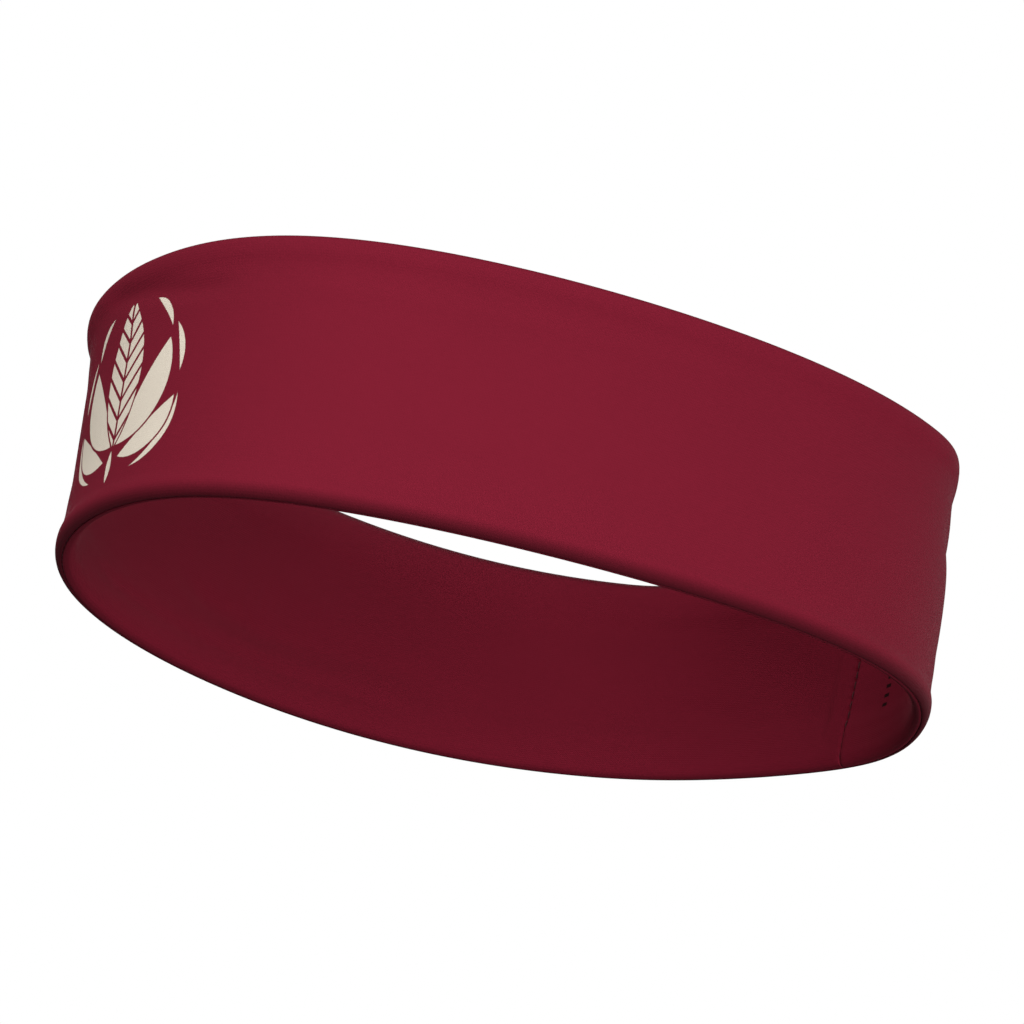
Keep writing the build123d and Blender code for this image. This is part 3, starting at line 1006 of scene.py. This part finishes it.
    def build(self) -> bpy.types.Object:
        """Run the tree and keep its result as a plain mesh, for its CAD thread if it stands for one."""
        guide, tree = self.guide(), self.tree()
        modifier = guide.modifiers.new("row", "NODES")
        modifier.node_group = tree
        dress = self.finish.material() if isinstance(self.finish, ThreadFinish) else self.finish
        sizes = {"Pitch": self.pitch * MM, "Long": self.long * MM, "Wide": self.wide * MM, "Tall": self.tall * MM,
                 "Thread": self.thread * MM, "Uneven": self.uneven, "Seed": self.seed, "Material": dress}
        keys = {item.name: item.identifier for item in tree.interface.items_tree if item.in_out == "INPUT"}
        for label, value in sizes.items():
            modifier[keys[label]] = value
        bpy.context.view_layer.update()
        graph = bpy.context.evaluated_depsgraph_get()
        mesh = bpy.data.meshes.new_from_object(guide.evaluated_get(graph), depsgraph=graph)
        mesh.name = self.name
        guide.modifiers.remove(modifier)
        guide.data = mesh
        bpy.data.node_groups.remove(tree)
        if self.node:
            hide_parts(self.node)
        return guide


@dataclass
class EdgeSeams:
    """Both long edges' seams: a needle stitch in the crest and looper loops round the raw edges inside."""

    wall: Wall
    needle: ThreadFinish
    looper: ThreadFinish
    crest_at: float = 0.42
    loop_at: float = 8.0
    steps: int = 900

    def ring(self, inside: float, top: bool) -> tuple[Array, Array]:
        """A closed path at a distance inside an edge, with the direction out of that edge."""
        run = np.linspace(-self.wall.half, self.wall.half, self.steps, endpoint=False)
        level = self.wall.height - inside if top else inside
        path = self.wall.point(run, np.full(self.steps, level), np.zeros(self.steps))
        return path, np.tile([0.0, 0.0, 1.0 if top else -1.0], (self.steps, 1))

    def build(self) -> list[bpy.types.Object]:
        """Build the four edge threads and bake their placement into their meshes."""
        made = []
        for top, edge in ((True, "top_edge"), (False, "lower_edge")):
            made.append(Row(f"{edge}_needle_stitches", f"{edge}_needle_thread", *self.ring(self.crest_at, top),
                            UnitShape.STRAIGHT, self.needle, Slot.NEEDLE, True, tall=0.12, thread=0.11).build())
            made.append(Row(f"{edge}_looper_loops", f"{edge}_looper_threads", *self.ring(self.loop_at, top),
                            UnitShape.LOOP, self.looper, Slot.LOOPER, True, wide=1.86, tall=3.0, thread=0.09).build())
        for piece in made:
            stretch_along(piece)
        return made


@dataclass
class BackSeams:
    """The two upright back seams: needle stitches in the ditch and looper loops round the turned ends."""

    layers: tuple[Layer, Layer]
    needle: ThreadFinish
    looper: ThreadFinish
    span: Point2 = (3.0, 51.0)
    tail_span: Point2 = (11.5, 42.5)
    sunk: float = 0.08
    loops_at: float = 4.4
    loops_face: float = 6.0
    steps: int = 60

    def needle_path(self, layer: Layer) -> tuple[Array, Array]:
        """The upright path in a layer's ditch, with the direction out of the cloth there."""
        level, run = np.linspace(*self.span, self.steps), np.full(self.steps, layer.run_at(0.0))
        skin = layer.seam_swell(np.zeros(self.steps), layer.swell(level)) - self.sunk
        here = layer.wall.point(run, level, layer.side.value * skin)
        return here, layer.wall.point(run, level, layer.side.value * (skin + 1.0)) - here

    def loop_path(self, layer: Layer) -> tuple[Array, Array]:
        """The upright path in a layer's turned ends, with the direction away from the seam."""
        level = np.linspace(*self.tail_span, self.steps)
        here, ahead = (layer.wall.point(layer.run_at(beside), level, 0.0)
                       for beside in (self.loops_at, self.loops_face))
        return here, ahead - here

    def build(self) -> list[bpy.types.Object]:
        """Build the four back threads on the seam's body."""
        made = []
        for layer, word in zip(self.layers, ("outer", "lining")):
            made.append(Row(f"{word}_back_needle_stitches", f"{word}_back_needle_thread", *self.needle_path(layer),
                            UnitShape.STRAIGHT, self.needle, Slot.NEEDLE, tall=0.16, thread=0.13).build())
            made.append(Row(f"{word}_back_looper_loops", f"{word}_back_looper_threads", *self.loop_path(layer),
                            UnitShape.LOOP, self.looper, Slot.LOOPER, wide=1.7, thread=0.09).build())
        for piece in made:
            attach(piece, Body.SEAM.value)
        return made


# ---------------------------------------------------------------- the care label


@dataclass
class CareLabel:
    """A satin ribbon caught in the lining's seam, with a line of slits to tear it off by."""

    lining: Layer
    finish: RibbonFinish
    low: float = 33.0
    high: float = 48.0
    caught: float = 0.1
    torn: float = 6.0
    slit: float = 0.3
    far: float = 36.3
    cloth: float = 0.25
    standoff: float = 0.38
    sunk: float = 0.02
    curl: float = 1.3
    ripple: float = 0.12
    rows: int = 14
    tab_inset: float = 0.7
    tab_steps: int = 40

    def depth(self, aside: Array, level: Array) -> Array:
        """Depth of the ribbon's outer face over the lining's skin."""
        skin = self.lining.seam_swell(self.lining.seam_turn * aside, self.lining.swell(level))
        start = ease((aside - 0.3) / 2.5)
        lifted = self.curl * ease((aside - 22) / 16) ** 2
        wave = self.ripple * np.sin(level * 0.42) * ease((aside - 8) / 12)
        return -(skin + (self.standoff + lifted + wave) * start + self.sunk)

    def strip(self, name: str, start: float, end: float, columns: int,
              material: bpy.types.Material) -> bpy.types.Object:
        """Build one closed piece of the ribbon.

        Args:
            name: the piece's name.
            start: distance from the seam where it begins.
            end: distance from the seam where it ends.
            columns: points along it.
            material: its material.

        Returns:
            The piece.
        """
        aside = np.linspace(start, end, columns)[:, None]
        level = np.linspace(self.low, self.high, self.rows)[None]
        near = self.depth(aside, level)
        wall = self.lining.wall
        points = [wall.point(wall.half - aside, level, depth) for depth in (near, near - self.cloth)]
        cloth = np.stack(np.broadcast_arrays(aside, level - self.low), -1)
        grid = np.arange(2 * near.size).reshape(2, *near.shape)
        faces = shell_faces(grid)
        for end_column, way in ((0, 1), (-1, -1)):
            faces += quads(grid[0, end_column], grid[1, end_column], way)
        return mesh_piece(name, points, faces, material, [cloth, cloth])

    def tabs(self, material: bpy.types.Material) -> bpy.types.Object:
        """Repeat the little bridges between the slits along the tear line."""
        wall = self.lining.wall
        level = np.linspace(self.low + self.tab_inset, self.high - self.tab_inset, self.tab_steps)
        aside = np.full(self.tab_steps, self.torn)
        middle = self.depth(aside, level) - self.cloth / 2
        here, out = (wall.point(wall.half - aside, level, depth) for depth in (middle, middle - 1.0))
        return Row("care_ribbon_tabs", None, here, out - here, UnitShape.TAB, material, Slot.RIBBON,
                   pitch=2.0, long=0.9, wide=0.95, tall=self.cloth * 0.9, uneven=0.0).build()

    def build(self) -> list[bpy.types.Object]:
        """Build the stub on the seam's body, and the label with its tabs on the label's body."""
        material = self.finish.material()
        stub = self.strip("care_ribbon_stub", self.caught, self.torn - self.slit, 12, material)
        label = self.strip("care_ribbon", self.torn + self.slit, self.far, 44, material)
        tabs = self.tabs(material)
        for piece, node, body in ((stub, "care_label_stub", Body.SEAM), (label, "care_label", Body.LABEL)):
            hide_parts(node)
            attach(piece, body.value)
        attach(tabs, Body.LABEL.value)
        return [stub, label, tabs]


# ---------------------------------------------------------------- the studio


def towards(azimuth: float, elevation: float) -> Vector:
    """Direction to a place at these angles in degrees, azimuth 0 being the front."""
    a, e = math.radians(azimuth), math.radians(elevation)
    return Vector((math.sin(a) * math.cos(e), -math.cos(a) * math.cos(e), math.sin(e)))


@dataclass(frozen=True)
class Softbox:
    """One soft square light, aimed at the band; its power in watts, its size and distance in metres."""

    name: str
    azimuth: float
    elevation: float
    power: float
    size: float
    away: float = 1.3

    def build(self, middle: Vector) -> bpy.types.Object:
        """Place the light on a sphere round the band, facing its middle."""
        data = bpy.data.lights.new(self.name, "AREA")
        data.shape = "SQUARE"
        data.size = self.size
        data.energy = self.power
        made = link(self.name, data)
        back = towards(self.azimuth, self.elevation)
        made.location = middle + back * self.away
        made.rotation_mode = "QUATERNION"
        made.rotation_quaternion = back.to_track_quat("Z", "Y")
        return made


@dataclass
class Studio:
    """Pale floor, soft lights, even surround and the camera, in mm and degrees."""

    azimuth: float = 55.07
    elevation: float = -20.68
    roll: float = 7.0
    distance: float = 572.5
    pan_across: float = -6.545
    pan_up: float = -4.25
    lens: float = 92.3
    clip: tuple[float, float] = (0.01, 20.0)
    aim: tuple[float, float, float] = (0.0, -12.99, 29.3)
    lit_middle: tuple[float, float, float] = (0, 0, 0.029)
    surround: float = 0.04
    floor_half: float = 6.0
    floor_low: float = -0.0006
    boxes: tuple[Softbox, ...] = (
        Softbox("key", 57.0, -6.0, 7.6, 0.6),
        Softbox("left", 5.0, 18.0, 6.8, 0.8),
        Softbox("right", 96.0, 8.0, 2.4, 0.8),
        Softbox("low", 110.0, -40.0, 6.6, 0.8),
        Softbox("back", 240.0, 30.0, 12.0, 1.0),
        Softbox("back_right", 190.0, 20.0, 4.0, 1.0),
        Softbox("top", 55.0, 62.0, 3.4, 0.8),
    )

    def camera(self) -> None:
        """Set the camera at its angle, a little below the band's edge, with its small roll."""
        roll, back = math.radians(self.roll), towards(self.azimuth, self.elevation)
        right = (-back).cross(Vector((0, 0, 1))).normalized()
        up = right.cross(-back)
        right, up = right * math.cos(roll) + up * math.sin(roll), up * math.cos(roll) - right * math.sin(roll)
        data = bpy.data.cameras.new("camera")
        data.lens = self.lens
        data.clip_start, data.clip_end = self.clip
        made = link("camera", data)
        place = Vector(self.aim) + back * self.distance - right * self.pan_across - up * self.pan_up
        made.matrix_world = Matrix.Translation(place * MM) @ Matrix((right, up, back)).transposed().to_4x4()
        bpy.context.scene.camera = made

    def world(self) -> None:
        """Light evenly from all round, and show plain white behind."""
        world = bpy.data.worlds.new("surround")
        world.use_nodes = True
        world.node_tree.nodes.clear()
        nodes = Nodes(world.node_tree)
        direct = nodes.add("ShaderNodeLightPath").outputs["Is Camera Ray"]
        dim, seen = (nodes.add("ShaderNodeBackground", {"Color": (1, 1, 1, 1), "Strength": strength}).outputs[0]
                     for strength in (self.surround, 1.0))
        pick = nodes.add("ShaderNodeMixShader", {0: direct, 1: dim, 2: seen})
        nodes.add("ShaderNodeOutputWorld", {0: pick.outputs[0]})
        bpy.context.scene.world = world

    def floor(self) -> None:
        """Lay the floor just under the band."""
        mesh = bpy.data.meshes.new("floor")
        half, low = self.floor_half, self.floor_low
        mesh.from_pydata([(-half, -half, low), (half, -half, low), (half, half, low), (-half, half, low)], [],
                         [(0, 1, 2, 3)])
        mesh.materials.append(FloorFinish().material())
        made = link("floor", mesh)
        made.visible_shadow = made.visible_diffuse = made.visible_glossy = False

    def build(self) -> None:
        """Set the camera, the surround, the floor and the lights."""
        self.camera()
        self.world()
        self.floor()
        for box in self.boxes:
            box.build(Vector(self.lit_middle))
        view = bpy.context.scene.view_settings
        view.view_transform, view.look, view.exposure, view.gamma = "Standard", "None", 0.0, 1.0


# ---------------------------------------------------------------- the whole band


@dataclass
class Headband:
    """The whole band from its wall, two layers, seams and label."""

    wall: Wall = field(default_factory=Wall)
    wine: Colour = (0.212, 0.0098, 0.0272)
    flat: tuple[float, float] = (0.076, 0.585)

    def layers(self) -> tuple[Layer, Layer]:
        """Describe the outer layer and the lining."""
        # Both layers carry painted shade that darkens their colour near the lower and top edges.
        dyed = JerseyFinish("outer_jersey", self.wine, crest=PlantCrest(), relief=0.10, melange=0.09,
                            low_edge_shade=(0.62, 3.4), high_edge_shade=(0.2, 1.0))
        plain = JerseyFinish("lining_jersey", self.wine, dashes=SizeDashes(),
                             low_edge_shade=(0.3, 1.2), high_edge_shade=(0.55, 2.4))
        outer = Layer(Side.OUTER, "outer_jersey_layer", "outer_layer", self.wall, dyed, Slot.OUTER_KNIT,
                      bead=2.15, bead_tall=3.4, body=1.3, seam_at=2.6, seam_turn=1,
                      allowance=((3.4, 2.15), (5.6, 1.72), (9.3, 1.66), (17.0, 1.30)))
        lining = Layer(Side.LINING, "lining_jersey_layer", "lining", self.wall, plain, Slot.LINING_KNIT,
                       bead=2.2, bead_tall=3.0, body=1.15, seam_at=0.0, seam_turn=-1,
                       allowance=((3.0, 2.2), (5.0, 2.05), (9.2, 1.75), (14.5, 1.15)))
        return outer, lining

    def build(self) -> dict[str, bpy.types.Object]:
        """Build every piece in the order that it is sewn.

        Returns:
            The pieces by name.
        """
        outer, lining = self.layers()
        needle = ThreadFinish("wine_needle_thread", shade(74, 12, 22))
        looper = ThreadFinish("wine_looper_thread", shade(116, 26, 43), rough=0.7, sheen=0.25)
        shell, inner = outer.build(), lining.build()
        edges = EdgeSeams(self.wall, needle, looper).build()
        backs = BackSeams((outer, lining), needle, looper).build()
        label = CareLabel(lining, RibbonFinish("label_satin")).build()
        return {piece.name: piece for piece in [shell, inner, *edges, *backs, *label]}


def main() -> None:
    """Build the studio and the band, and report each piece."""
    logging.basicConfig(level=logging.INFO, format="%(message)s")
    Studio().build()
    for name, piece in Headband().build().items():
        LOG.info("%s: %d faces", name, len(piece.data.polygons))


if __name__ == "__main__":
    main()
